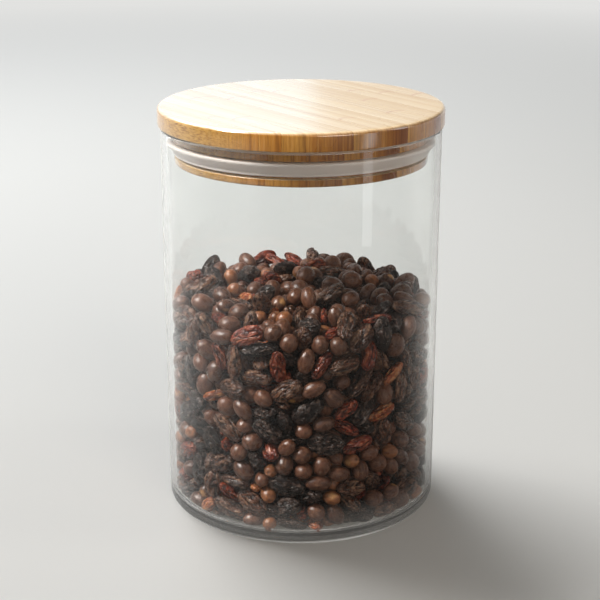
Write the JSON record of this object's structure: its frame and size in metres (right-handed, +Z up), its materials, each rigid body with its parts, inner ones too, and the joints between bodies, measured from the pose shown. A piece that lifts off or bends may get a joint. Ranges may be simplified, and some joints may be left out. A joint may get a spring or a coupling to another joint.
{
  "type": "lidded glass canister",
  "caption": "Straight-sided round glass storage canister with a bamboo plug lid and a flared silicone seal, part filled with dried fruit.",
  "frame": {"origin": "centre of the jar's foot, on the surface that the canister stands on", "axes": "+Z up along the jar's axis; the lid's bamboo staves run 52 degrees clockwise from +X; +Y points away from the viewer"},
  "size_m": [0.102, 0.102, 0.1486],
  "materials": {
    "clear_glass": "clear, polished, very slightly cool in its edges",
    "milky_silicone": "translucent milky white, smooth satin",
    "bamboo": "laminated bamboo, side pressed, satin lacquer",
    "dried_fruit": "wrinkled, dull to slightly glossy"
  },
  "bodies": {
    "jar": {"glass_jar": "clear_glass", "dried_fruit_fill": "dried_fruit"},
    "seal": {"silicone_seal": "milky_silicone"},
    "lid": {"lid_stave_01": "bamboo", "lid_stave_02": "bamboo", "lid_stave_03": "bamboo", "lid_stave_04": "bamboo", "lid_stave_05": "bamboo", "lid_stave_06": "bamboo", "lid_stave_07": "bamboo", "lid_stave_08": "bamboo", "lid_stave_09": "bamboo", "lid_stave_10": "bamboo", "lid_stave_11": "bamboo", "lid_stave_12": "bamboo", "lid_stave_13": "bamboo"}
  },
  "joints": [
    {"name": "lid_lift", "type": "slide", "parent": "jar", "child": "seal", "axis": [0, 0, 1], "range_m": [0, 0.03]},
    {"name": "lid_turn", "type": "hinge", "parent": "seal", "child": "lid", "pos_m": [0, 0, 0.142], "axis": [0, 0, 1], "continuous": true}
  ]
}
